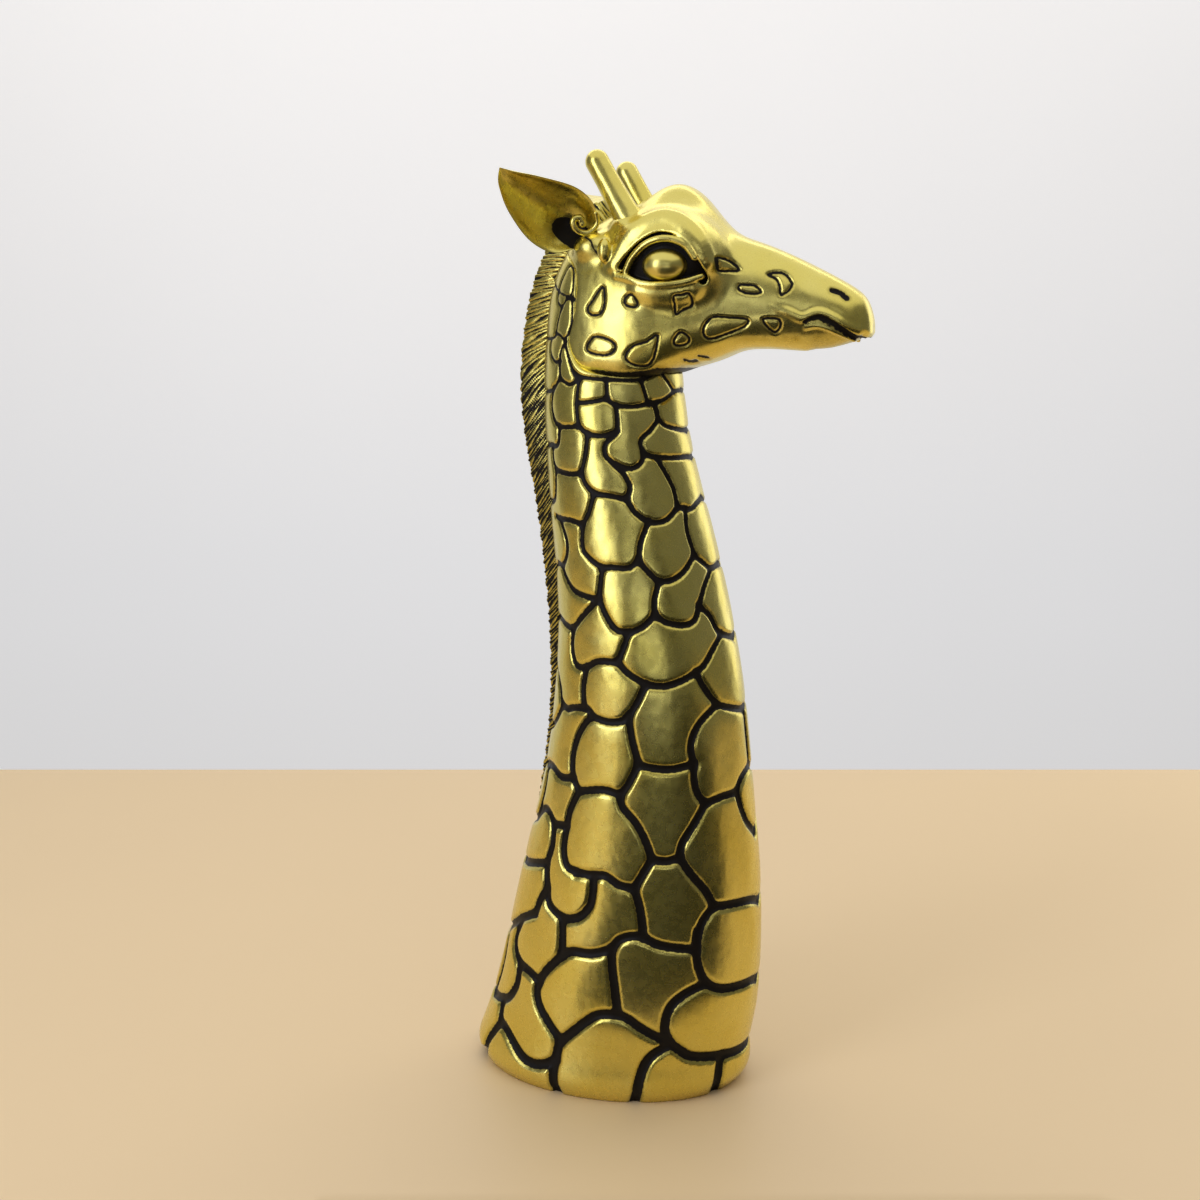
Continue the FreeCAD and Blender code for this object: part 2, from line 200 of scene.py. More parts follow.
# Grooves between the patches of one side: degrees round from the front, then height.
GROOVES = [
    # foot
    [(107, 0), (109, 10), (110, 20)],
    [(59, 0), (59, 9), (56, 17), (48, 22)],
    [(18, 0), (21, 4), (21, 10), (20, 15)],
    [(0, 14), (8, 14), (20, 15), (35, 17), (42, 20), (48, 23)],
    [(171, 0), (158, 4), (155, 11), (151, 18)],
    [(180, 0), (180, 24.5)],
    [(180, 24.5), (174, 25.5), (168, 24)],
    [(166, 24.5), (164, 37), (167, 50)],
    [(180, 50), (175, 48.5), (170, 49)],
    [(180, 50), (180, 76)],
    [(180, 76), (175, 77.5), (170, 76)],
    [(170, 91), (179, 90)],
    [(151, 18), (145, 17), (131, 11), (123, 9.5), (115, 10.5), (109, 13)],
    [(109, 20), (117, 24), (127, 30), (131, 35), (131, 39)],
    [(131, 39), (139, 41), (147, 42)],
    [(147, 42), (146, 35), (149, 29), (155, 26), (168, 24)],
    [(154, 26), (153, 22), (151, 18)],
    [(147, 42), (153, 46), (155, 51), (153, 56)],
    [(170, 49), (160, 54), (152, 58), (142, 62)],
    [(131, 39), (127, 44), (119, 50.5)],
    [(119, 50.5), (120, 56), (122, 64)],
    [(119, 50.5), (112, 53), (100, 53.5), (88, 56)],
    [(88, 56), (86, 49), (82, 40), (79, 33)],
    [(109, 20), (98, 28), (90, 32), (79, 33)],
    [(79, 33), (72, 31.5), (63, 28), (48, 23)],
    [(88, 56), (83, 60), (72, 61.5), (60, 58.5), (41, 56.5)],
    [(41, 63), (41, 57), (39, 50), (35, 44)],
    [(35, 44), (45, 40.5), (51, 36), (52, 29), (48, 23)],
    [(35, 44), (27, 41), (16, 40), (7, 39.5), (0, 38)],
    # lower neck
    [(142, 62), (140, 67), (136, 73)],
    [(136, 73), (132, 67), (121, 63.5)],
    [(121, 63.5), (111, 65.5), (105, 70), (104, 75), (104.5, 81)],
    [(136, 73), (139, 81), (137.5, 88), (139, 95)],
    [(139, 81), (147, 79.5), (160, 77), (170, 76)],
    [(139, 95), (145, 98), (152, 98.5), (160, 94), (170, 91)],
    [(139, 95), (134, 95.5), (128, 96)],
    [(160, 94), (157, 104), (158, 113.5)],
    [(168, 112), (178, 113)],
    [(122, 109), (127, 102), (128, 96), (128, 88), (124, 82.5), (117, 81)],
    [(117, 81), (105, 81), (97, 81.5), (88, 79), (78, 78)],
    [(78, 78), (74, 72), (71, 65), (70, 61)],
    [(78, 78), (74, 83), (69, 88.5)],
    [(69, 88.5), (74, 95), (81, 101), (90, 106), (92, 110)],
    [(69, 88.5), (61, 88), (53, 89)],
    [(53, 89), (52, 94), (46, 100), (39, 107)],
    [(53, 89), (46, 83), (38, 77), (33, 71)],
    [(33, 71), (20, 70.5), (9, 69.5), (0, 67)],
    [(33, 71), (38, 67), (40.5, 62), (41, 57)],
    [(92, 110), (87, 114), (81, 121)],
    [(92, 110), (104, 111), (122, 109)],
    [(122, 109), (128, 114), (129.5, 121), (126, 128), (120, 133), (115, 135.5)],
    [(127, 113), (139, 112), (152, 114), (168, 112)],
    [(39, 107), (44, 111), (46, 116), (46, 121)],
    [(39, 107), (29, 108.5), (17, 109)],
    [(17, 109), (12, 113), (0, 116)],
    [(17, 109), (14, 103), (9, 97), (0, 91.5)],
    [(81, 121), (74, 120), (60, 119.5), (46, 121)],
    # middle
    [(115, 135.5), (104, 134.5), (94, 135), (88, 137)],
    [(88, 137), (86, 130), (81, 121)],
    [(88, 137), (82, 142), (76, 148)],
    [(115, 135.5), (118, 137.5), (122, 138)],
    [(122, 138), (123, 145), (120, 152)],
    [(122, 138), (132, 137), (138, 136), (145, 136.5)],
    [(145, 136.5), (151, 132), (159, 128), (170, 126)],
    [(145, 136.5), (148, 139), (150, 142), (160, 147), (178, 149)],
    [(170, 126), (178, 125)],
    [(133, 164), (134.5, 158), (132, 153), (127, 151.5), (120, 152), (110, 154.5), (95, 155)],
    [(133, 164), (142, 164.5), (156, 166), (178, 165)],
    [(133, 164), (122, 169), (106, 175.5)],
    [(95, 155), (88, 151.5), (76, 148)],
    [(95, 155), (90, 160), (86, 165)],
    [(86, 165), (95, 166), (101, 170), (106, 175.5)],
    [(86, 165), (76, 167), (66, 171)],
    [(66, 171), (65, 176), (60, 182)],
    [(66, 171), (58, 168.5), (46, 167.5), (38, 169), (33, 173.5)],
    [(33, 173.5), (25, 179.5), (15, 184.5)],
    [(33, 173.5), (25, 169.5), (21, 165), (17, 163)],
    [(17, 163), (8, 161.5), (0, 160.5)],
    [(17, 163), (27, 158.5), (35, 154), (42, 151.5)],
    [(42, 151.5), (53, 149), (64, 147.5), (76, 148)],
    [(42, 151.5), (37, 146), (29, 140)],
    [(29, 140), (18, 138), (8, 136.5), (0, 135.5)],
    [(29, 140), (40, 135.5), (46, 131), (48, 126), (46, 121)],
    [(0, 136), (1, 127), (0, 116)],
    # upper neck
    [(60, 182), (66, 185), (72, 189)],
    [(60, 182), (50, 182.5), (40, 185), (29, 190)],
    [(72, 189), (80, 186.5), (92, 186.5), (100, 186)],
    [(100, 186), (110, 189), (115, 192.5), (112, 200)],
    [(100, 186), (103, 181), (106, 175.5)],
    [(106, 175.5), (118, 176), (130, 177.5), (138, 181), (142, 184.5)],
    [(142, 184.5), (152, 185), (160, 183), (178, 183)],
    [(142, 184.5), (134, 189), (132, 194), (138, 201)],
    [(112, 200), (124, 201), (138, 201), (145, 201.5)],
    [(112, 200), (105, 204), (98, 210.5)],
    [(98, 210.5), (86, 210), (73, 209)],
    [(73, 209), (68, 204.5), (58, 201.5), (46, 202), (34, 206)],
    [(73, 209), (69, 213), (72, 217), (77, 220)],
    [(77, 220), (66, 219), (58, 220.5), (54, 223.5)],
    [(77, 220), (84, 223), (83, 227), (73, 231), (72, 239.5)],
    [(54, 223.5), (55, 228), (45, 231.5), (38, 235), (39, 239.5)],
    [(54, 223.5), (44, 222.5), (26, 222), (10, 222), (0, 221.5)],
    [(44, 222), (39, 218), (34, 212), (34, 206)],
    [(34, 206), (22, 205), (12, 206.5), (0, 208)],
    [(27, 205.5), (30, 198), (28, 190)],
    [(29, 190), (21, 187), (14, 185), (0, 185.5)],
    [(72, 189), (68, 195), (59, 202)],
    [(98, 210.5), (104, 213.5), (107, 217)],
    [(107, 217), (120, 216.5), (137, 217.5)],
    [(137, 217.5), (140, 211), (145, 207), (160, 206), (178, 207)],
    [(137, 217.5), (139.5, 221), (139, 225.5)],
    [(178, 224), (168, 225), (145, 225.5), (130, 226), (126, 232)],
    [(112, 274), (130, 276), (152, 279), (178, 278)],
    [(107, 217), (101, 223), (97, 230)],
    [(97, 230), (86, 229.5), (73, 231)],
    [(97, 230), (105, 232.5)],
    [(105, 232.5), (115, 232), (126, 232)],
    [(126, 232), (133, 234), (137, 239), (133, 245)],
    [(105, 232.5), (105.5, 240), (103, 248)],
    [(105, 240), (92, 240.5), (79, 241.5)],
    [(79, 241.5), (72, 239.5), (58, 239), (44, 240)],
    [(44, 240), (30, 241), (15, 243.5), (0, 244)],
    [(39, 239), (34, 233.5), (20, 231.5), (0, 230.5)],
    # under the jaw and behind the cheek
    [(102, 247.5), (108, 250), (113, 254), (118, 260), (114, 263), (111, 267), (112, 274)],
    [(108, 250), (100, 248.5), (80, 247.8), (56, 247.5), (44, 248.3), (30, 250.5), (0, 251)],
    [(79, 248), (79, 241.5)],
    [(50, 247.5), (46, 241.5), (44, 240)],
    [(30, 250), (21, 246), (15, 243.5)],
    [(103, 248), (112, 246), (124, 248)],
    [(124, 248), (133, 244.5), (145, 243.5), (178, 243)],
    [(124, 248), (124, 256), (118, 260)],
    [(123, 253.5), (132, 253.5), (140, 256.5), (140, 261)],
    [(118, 260), (128, 262.5), (140, 261), (178, 262)],
    [(132, 262.5), (129, 267), (125, 271)],
    [(125, 271), (117, 274), (109, 273.5)],
    [(125, 271), (133, 274), (130, 280), (122, 284.5), (114, 283), (112, 277), (115, 274)],
]
GROOVE_HALF = spline((0, 30, 90, 150, 200, 240, 262, 292), (1.8, 1.7, 1.45, 1.2, 0.95, 0.75, 0.45, 0.4))

GROOVE_DEPTH = 0.72  # as a share of the groove's half width
PATCH_CROWN = 0.20
TUCK_UNDER_HEAD = 2.5
NECK_COLUMNS = 400
FOOT_RIM_HEIGHT = 6.0

# Where the joint between neck and head crosses a height, on the side of the cheek.
JOINT_BACK = spline(
    (244, 249, 254, 260, 266, 272, 280, 285, 291, 300),
    (-3.5, -5.2, -7.4, -9.6, -7.8, -7, -7, -9, -15.5, -16),
)


def head_side(x, z):
    """Signed distance, below 0 on the head's side of the joint with the neck."""
    under_jaw = 247.9 + 0.011 * (np.minimum(x, 22) - 11.0) ** 2 - z
    return common(under_jaw, JOINT_BACK(z) - x, 3.0)


def neck_surface(degrees, z, inset=0.0):
    """Point of the smooth neck at an angle round its axis and a height."""
    back, front, half = NECK_BACK(z), NECK_FRONT(z), NECK_HALF(z) - inset
    mid, reach = (front + back) / 2, (front - back) / 2 - inset
    c, s = np.cos(np.radians(degrees)), np.sin(np.radians(degrees))
    r = 1 / np.sqrt((c / reach) ** 2 + (s / half) ** 2)
    return np.stack([mid + r * c, r * s, z + 0 * mid], -1)


def groove_field(angle, z, points):
    """Distance of each grid vertex to the nearest groove line, with round corners."""
    corner = 0.4
    total = np.full(angle.shape, 1e-12)
    for side in (1, -1):
        for groove in GROOVES:
            line = smooth_line(groove)
            places = neck_surface(side * line[:, 0], line[:, 1])
            rows = (z[:, 0] > line[:, 1].min() - 9) & (z[:, 0] < line[:, 1].max() + 9)
            off = np.abs((angle[0] - side * line[:, 0].mean() + 180) % 360 - 180)
            cols = off < np.ptp(line[:, 0]) / 2 + 20
            window = np.ix_(rows, cols)
            total[window] += np.exp(-line_distance(points[window], places) / corner)
    return -corner * np.log(total)


def grid_slopes(field, points):
    """Change of a field a millimetre, across and up the grid, and the cell sizes."""
    across = np.roll(points, -1, 1) - np.roll(points, 1, 1)
    up = np.gradient(points, axis=0) * 2
    wide, tall = np.linalg.norm(across, axis=-1), np.linalg.norm(up, axis=-1)
    slope_a = (np.roll(field, -1, 1) - np.roll(field, 1, 1)) / wide
    slope_u = np.gradient(field, axis=0) * 2 / tall
    return slope_a, slope_u, wide / 2, tall / 2, np.cross(across, up)


def make_neck(material):
    """Neck with its grooves cut in, its rim and the start of its hollow.

    Two rounds first move grid vertices on to the two edges of the bevel, so that both are crisp.
    """
    cols = NECK_COLUMNS
    steps = [np.arange(0, 120, 0.72), np.arange(120, 200, 0.6), np.arange(200, 292.01, 0.45)]
    heights = np.concatenate(steps)
    z, angle = np.meshgrid(heights, np.arange(cols) * 360 / cols - 180, indexing="ij")
    points = neck_surface(angle, z)
    edge = groove_field(angle, z, points) - GROOVE_HALF(z)
    bevel = 0.32 + 0.28 * GROOVE_HALF(z)
    for target in (np.zeros_like(z), bevel):
        field = edge - target
        slope_a, slope_u, wide, tall, _ = grid_slopes(field, points)
        steep = slope_a**2 + slope_u**2
        near = (np.abs(field) < 0.42 * np.minimum(wide, tall)) & (steep > 0.5)
        near[:2], near[-2:] = False, False
        move = np.where(near, -field / np.maximum(steep, 0.3), 0)
        angle = angle + move * slope_a / wide * 360 / cols
        z = z + move * slope_u / tall * np.gradient(heights)[:, None]
        points = neck_surface(angle, z)
        edge = np.where(near, target, edge)
    half = GROOVE_HALF(z)
    depth = GROOVE_DEPTH * half * (1 - ramp(-0.6 * half, bevel, edge))
    depth += PATCH_CROWN * np.exp(-np.maximum(edge, 0) / 2.0)
    depth += TUCK_UNDER_HEAD * ramp(0.3, 2.0, -head_side(points[..., 0], points[..., 2]))
    out = grid_slopes(edge, points)[4]
    out /= np.linalg.norm(out, axis=-1, keepdims=True)
    points = points - out * depth[..., None]
    points[0, :, 2] = 0.0
    rows = len(heights)
    rim = [neck_surface(angle[0], np.full(cols, h), 5.0) for h in (0.0, FOOT_RIM_HEIGHT)]
    ring = np.concatenate([rim[1][None], rim[0][None], points])
    edge = np.concatenate([np.full((2, cols), NO_INK), edge])
    verts = ring.reshape(-1, 3)
    ends = [[0, 0, FOOT_RIM_HEIGHT], [(NECK_BACK(292.0) + NECK_FRONT(292.0)) / 2, 0, 292.6]]
    faces = np.concatenate(
        [
            grid_faces(rows + 2, cols),
            cap_faces(0, cols, len(verts), True),
            cap_faces((rows + 1) * cols, cols, len(verts) + 1, False),
        ]
    )
    verts = np.concatenate([verts, ends])
    ink = np.concatenate([edge.ravel(), [NO_INK, NO_INK]])
    return make_mesh("neck", verts, faces, material, {"ink": ink})


# ---------------------------------------------------------------- shapes from fields


def sample_field(field, axes, coarse=4):
    """Field over a grid, worked out finely only near its surface."""
    step = axes[0][1] - axes[0][0]
    rough_axes = [a[::coarse] for a in axes]
    rough = field(np.stack(np.meshgrid(*rough_axes, indexing="ij"), -1).reshape(-1, 3))
    rough = rough.reshape([len(a) for a in rough_axes])
    nearest = [
        np.minimum((np.arange(len(a)) + 2) // coarse, len(b) - 1) for a, b in zip(axes, rough_axes)
    ]
    values = rough[np.ix_(*nearest)]
    near = np.nonzero(np.abs(values) < 2.2 * coarse * step)
    values[near] = field(np.stack([a[i] for a, i in zip(axes, near)], -1))
    return values


def surface_net(values, axes):
    """Vertices and quads of the surface where a sampled field is 0."""
    inside = values < 0
    corners = [(i, j, k) for i in (0, 1) for j in (0, 1) for k in (0, 1)]
    size = np.array(values.shape) - 1
    count = sum(
        inside[i : i + size[0], j : j + size[1], k : k + size[2]].astype(np.int8) for i, j, k in corners
    )
    active = (count > 0) & (count < 8)
    base = np.argwhere(active)
    number = np.full(active.shape, -1)
    number[active] = np.arange(len(base))
    total, hits = np.zeros(base.shape), np.zeros(len(base))
    for axis in range(3):
        for corner in corners:
            if corner[axis]:
                continue
            a = base + corner
            b = a.copy()
            b[:, axis] += 1
            fa, fb = values[tuple(a.T)], values[tuple(b.T)]
            cut = (fa < 0) != (fb < 0)
            place = a[cut].astype(float)
            place[:, axis] += fa[cut] / (fa[cut] - fb[cut])
            total[cut] += place
            hits[cut] += 1
    origin = np.array([a[0] for a in axes])
    verts = origin + total / hits[:, None] * (axes[0][1] - axes[0][0])
    quads = []
    for axis in range(3):
        u, v = (axis + 1) % 3, (axis + 2) % 3
        low = np.moveaxis(inside, axis, 0)
        edges = np.argwhere(np.moveaxis(low[:-1] != low[1:], 0, axis))
        keep = (edges[:, u] > 0) & (edges[:, v] > 0)
        edges = edges[keep & (edges[:, u] < size[u]) & (edges[:, v] < size[v])]
        ring = []
        for du, dv in ((0, 0), (1, 0), (1, 1), (0, 1)):
            cell = edges.copy()
            cell[:, u] -= du
            cell[:, v] -= dv
            ring.append(number[tuple(cell.T)])
        ring = np.stack(ring, -1)
        outward = inside[tuple(edges.T)]
        quads += [ring[outward], ring[~outward][:, ::-1]]
    return verts, np.concatenate(quads)


def slope(field, p, step=0.05):
    """Gradient of a field at points."""
    sides = [field(p + step * e) - field(p - step * e) for e in np.eye(3)]
    return np.stack(sides, -1) / (2 * step)


def settle(field, p, rounds=2):
    """Points moved on to the surface of the field."""
    for _ in range(rounds):
        g = slope(field, p)
        p = p - g * (np.clip(field(p), -0.5, 0.5) / np.maximum((g * g).sum(-1), 0.2))[:, None]
    return p


def ellipsoid(p, centre, semi):
    """Near enough the distance to an ellipsoid, below 0 inside it."""
    q = (p - np.array(centre)) / semi
    r = np.linalg.norm(q, axis=-1)
    return (r - 1) * r / np.maximum(np.linalg.norm(q / semi, axis=-1), 1e-6)


def wall(p, line, radius):
    """Field of a bent wall: a rod along the line, carried straight in to the middle."""
    out = np.full(len(p), 99.0)
    near = np.all(p[:, ::2] > line[:, ::2].min(0) - 7, axis=1)
    near &= np.all(p[:, ::2] < line[:, ::2].max(0) + 7, axis=1)
    near &= p[:, 1] > line[:, 1].min() - 9
    q, best = p[near], np.full(near.sum(), 1e9)
    for a, b in zip(line[:-1], line[1:]):
        ab = b - a
        flat = ab * (1, 0, 1)
        t = np.clip(((q - a) @ flat) / max(flat @ flat, 1e-9), 0, 1)
        d = q - a - t[:, None] * ab
        d[:, 1] = np.maximum(d[:, 1], 0)
        best = np.minimum(best, (d * d).sum(-1))
    out[near] = np.sqrt(best) - radius
    return out


def rod(p, line, radius):
    """Field of a bent round rod, exact only close to it."""
    out = np.full(len(p), 99.0)
    near = np.all((p > line.min(0) - 7) & (p < line.max(0) + 7), axis=1)
    out[near] = line_distance(p[near], line) - radius
    return out


def outline_field(p, outline):
    """Signed distance to a closed outline in x and z, below 0 inside it."""
    out = np.full(len(p), 99.0)
    near = np.all(p[:, ::2] > outline.min(0) - 6, axis=1)
    near &= np.all(p[:, ::2] < outline.max(0) + 6, axis=1)
    q = p[near][:, ::2]
    crossings = np.zeros(len(q), int)
    for (ax, az), (bx, bz) in zip(outline[:-1], outline[1:]):
        if az != bz:
            reach = ax + (q[:, 1] - az) / (bz - az) * (bx - ax)
            crossings += ((az > q[:, 1]) != (bz > q[:, 1])) & (q[:, 0] < reach)
    out[near] = line_distance(q, outline) * np.where(crossings % 2, -1, 1)
    return out


# ---------------------------------------------------------------- head

HEAD_TOP = spline(
    (-18, -12, -6, 6, 13.5, 19, 24.4, 29, 33.3, 38, 42.5, 51, 61, 71, 80, 84.2, 87, 89),
    (286, 293, 297.5, 303.5, 306.6, 309.8, 311, 309.5, 306)
    + (300.5, 296, 292, 288, 283.2, 278.4, 275.6, 272, 267),
)
HEAD_BOTTOM = spline(
    (-18, -6, 6, 17, 26, 33, 40, 45, 51.5, 61.5, 70, 75, 80, 85, 89),
    (228, 228, 230, 238, 248, 251.8, 254.6, 256.6, 257.5, 257.2, 256.8, 257.2, 258.4, 259.9, 261.2),
)
HEAD_HALF = spline(
    (-18, -12, -6, 0, 6, 17, 26, 35, 45, 56, 67, 77, 83, 86, 87.8, 89),
    (13.5, 17.8, 20.9, 22.8, 24, 24.6, 23.2, 20, 17, 14.6, 13.1, 11.8, 10.2, 8.4, 6.6, 4.4),
)
HEAD_WIDEST = spline(
    (-18, 0, 17, 35, 56, 67, 77, 84, 89),
    (261, 263, 264.5, 268, 270, 269, 267.5, 265.5, 262.8),
)
SNOUT_END = 88.6
JAW_END = 84.4

# Lines on the right side of the head, as x and z.
MOUTH = [(68.7, 265.9), (70.5, 266.8), (73, 267.2), (76, 265.8)]
MOUTH += [(80, 263.4), (83, 261.6), (86, 260.4), (90, 259)]
MOUTH_HEIGHT = spline([x for x, z in MOUTH], [z for x, z in MOUTH])
SOCKET = [
    (9.6, 283.2), (12.6, 287), (16, 290.2), (19.5, 292.5), (23.5, 293.9),
    (27.5, 293.5), (31.2, 291.5), (34.4, 288.6), (36.3, 285.2), (38, 282.2),
    (38.6, 279.6), (37.4, 277.8), (34.8, 278.9), (29, 278.6), (22, 278.4),
    (16, 279.6), (12.5, 281.4), (9, 281.2), (12, 282.6),
]
BROW = [
    (8, 284.5), (11.2, 290.2), (14.6, 293.9), (18.6, 296.8), (23.5, 298.3),
    (28.2, 297.4), (32.6, 294.3), (36, 290), (38.2, 285),
]
UPPER_LID = [(12.4, 282.2), (14.4, 285.8), (17.6, 289), (21, 291)]
UPPER_LID += [(25, 291.9), (29, 291.4), (32.6, 289.5), (35.2, 286)]
LOWER_LID = [(9, 280.6), (13, 279.9), (17, 278.4), (21, 277.7)]
LOWER_LID += [(25, 277.6), (29, 278), (33, 278.8), (37, 280.2)]
EYE_BAG = [(17, 276), (22, 274.8), (28, 274.7), (34, 276)]
UPPER_LIP = [(57, 271.4), (63, 269.1), (67.6, 267.3), (72, 268.7), (76.5, 267.4), (81, 264.6), (84.6, 263.2)]
LOWER_LIP = [(68.5, 264.6), (72, 265), (75, 264.3), (79, 262.5), (83, 260.6)]
NOSTRIL = [(76.6, 276), (79, 275.2), (81, 273.6)]
EAR_LINE = [(-3, 293.4), (-0.6, 292), (0.6, 289.5), (3, 286.8), (6.6, 285.3)]
SPOTS = [
    [(4, 277.3), (0.5, 273), (-1.2, 270.5), (0, 268.6), (3.2, 268.6), (4.8, 271), (4.9, 274.5)],
    [(12, 273), (13.4, 274.6), (15, 274.2), (16.5, 272), (15.6, 270.8), (13, 271.2)],
    [(28.8, 274), (31, 274.3), (33.5, 274.7), (33.8, 271.2), (31, 269.8), (28.8, 268.4), (28.6, 271.5)],
    [(41.9, 286), (45, 285), (47.4, 282.4), (44.5, 282.1), (42, 282), (41.9, 284)],
    [(47.7, 277.6), (50.5, 277.8), (53, 277.2), (54.4, 275.3), (51, 275), (48, 276)],
    [(56.3, 281), (59.5, 281.7), (62, 280.8), (64, 278)]
    + [(63, 275.8), (60.8, 274.6), (60.2, 277.2), (59, 279.6)],
    [(37, 262), (37.4, 265), (40, 267.6), (45, 267.4)]
    + [(50.4, 266.9), (49.6, 264.6), (44, 262.2), (39, 260.6)],
    [(55.3, 266.8), (58, 267.2), (60.4, 266.6), (60.6, 264.4), (58.8, 262.6), (56.6, 264.4)],
    [(1, 261.3), (5, 261), (8.6, 259.2), (8.3, 256.8), (5.5, 255.6), (1, 256), (-1.6, 257.6)],
    [(23.1, 261.8), (19.5, 259.8), (15, 258.4), (12.3, 255.2), (14, 252.8), (18.5, 251.8), (21.5, 254.5)],
    [(28, 260), (29.8, 262.7), (31.8, 262), (32.6, 260.2), (31.3, 258.8), (28.6, 258.5)],
]
SMALL_MARKS = [[(30, 253.8), (31.5, 253.2), (33, 253.6)], [(34.5, 255), (36.5, 254.6)]]


def mirrored(p):
    """Points of both sides brought to the side where y is above 0."""
    return p * (1, 0, 1) + np.abs(p) * (0, 1, 0)


# Swellings round the eye, at the ear's root and under the horn: centre, semi-axes, fillet.
SWELLINGS = [
    ((25.5, 14.5, 286), (17.5, 13.6, 15.5), 6),
    ((-1.5, 15.2, 290), (6.5, 5.6, 4.8), 4),
    ((11.5, 15.4, 296.5), (6.2, 6.0, 4.6), 4),
]


def skull(p):
    """Smooth form of the head: a long loft, swellings for the eyes, ears and horns."""
    p = mirrored(p)
    x, y, z = p.T
    half, widest = HEAD_HALF(x), HEAD_WIDEST(x)
    over = z > widest
    rise = np.where(over, HEAD_TOP(x) - widest, widest - HEAD_BOTTOM(x))
    power = np.where(over, 2.3, 2.6 - 0.7 * ramp(50, 66, x))
    side, up = y / half, np.abs(z - widest) / rise
    r = np.maximum((side**power + up**power) ** (1 / power), 0.05)
    pull = np.hypot(side ** (power - 1) / half, up ** (power - 1) / rise) * r ** (1 - power)
    d = (r - 1) / np.maximum(pull, 0.02)
    d = common(d, x - SNOUT_END, 2.4)
    for centre, semi, fillet in SWELLINGS:
        d = union(d, ellipsoid(p, centre, semi), fillet)
    return d


def on_side(points, lift=0.0):
    """Places on the head's side at the given x and z, lifted off it."""
    p = np.array([(x, 0.0, z) for x, z in points])
    low, high = np.zeros(len(p)), np.full(len(p), 45.0)
    for _ in range(24):
        p[:, 1] = (low + high) / 2
        solid = skull(p) < 0
        low, high = np.where(solid, p[:, 1], low), np.where(solid, high, p[:, 1])
    p[:, 1] += lift
    return p


def head_lines():
    """The head's ridges and cuts as lines in space."""
    lids = {"brow": (BROW, -1.9), "upper_lid": (UPPER_LID, -1.0), "lower_lid": (LOWER_LID, -0.5)}
    folds = {"eye_bag": (EYE_BAG, -1.9), "upper_lip": (UPPER_LIP, -0.75), "lower_lip": (LOWER_LIP, -1.0)}
    cuts = {"mouth": (MOUTH, 0.3), "nostril": (NOSTRIL, 0.2)}
    ears = {"ear_line": (EAR_LINE, 1.5)}
    parts = {**lids, **folds, **cuts, **ears}
    lines = {key: on_side(smooth_line(points, 4), lift) for key, (points, lift) in parts.items()}
    lines["upper_lip"][:, 1] -= 1.4 * ramp(64, 57, lines["upper_lip"][:, 0])
    return lines


LINES = head_lines()
SOCKET_RING = smooth_line(SOCKET, 3, closed=True)
SOCKET_DEPTH = 2.9
BROW_RADIUS = 2.9
EYE_BAG_RADIUS = 2.0
UPPER_LID_RADIUS = 1.15
LOWER_LID_RADIUS = 1.0
UPPER_LIP_RADIUS = 1.35
LOWER_LIP_RADIUS = 0.9
NOSTRIL_RADIUS = 0.85
JAW_SET_BACK = 0.75
MARK_HALF = 0.42
MARK_DEPTH = 0.5
HEAD_GRID = 0.42


def head_form(p):
    """The whole head in the round, before its fine engraving."""
    base = skull(p)
    p = mirrored(p)
    x, y, z = p.T
    d = union(base, wall(p, LINES["brow"], BROW_RADIUS), 3.0)
    d = union(d, wall(p, LINES["eye_bag"], EYE_BAG_RADIUS), 3.0)
    d = union(d, ellipsoid(p, (4.8, 22.6, 288.8), (2.3, 2.4, 3.9)), 1.0)
    hollow = common(outline_field(p, SOCKET_RING), -(base + SOCKET_DEPTH), 1.2)
    d = common(d, -hollow, 1.0)
    d = union(d, wall(p, LINES["upper_lid"], UPPER_LID_RADIUS), 0.4)
    d = union(d, wall(p, LINES["lower_lid"], LOWER_LID_RADIUS), 0.8)
    jaw = ramp(0.5, -0.5, z - MOUTH_HEIGHT(x)) * ramp(66, 71, x)
    d = d + JAW_SET_BACK * jaw
    d = common(d, np.where(jaw > 0.02, x - JAW_END, -9.0), 0.8)
    d = union(d, rod(p, LINES["upper_lip"], UPPER_LIP_RADIUS), 1.4)
    d = union(d, rod(p, LINES["lower_lip"], LOWER_LIP_RADIUS), 0.8)
    d = common(d, 0.8 + 0.4 * ramp(69, 75, x) - rod(p, LINES["mouth"], 0.0), 0.5)
    d = common(d, -rod(p, LINES["nostril"], NOSTRIL_RADIUS), 0.8)
    edge = 2.0 + 4.0 * ramp(-7, 4, x)
    return common(d, head_side(x, z) + 0.25, edge)


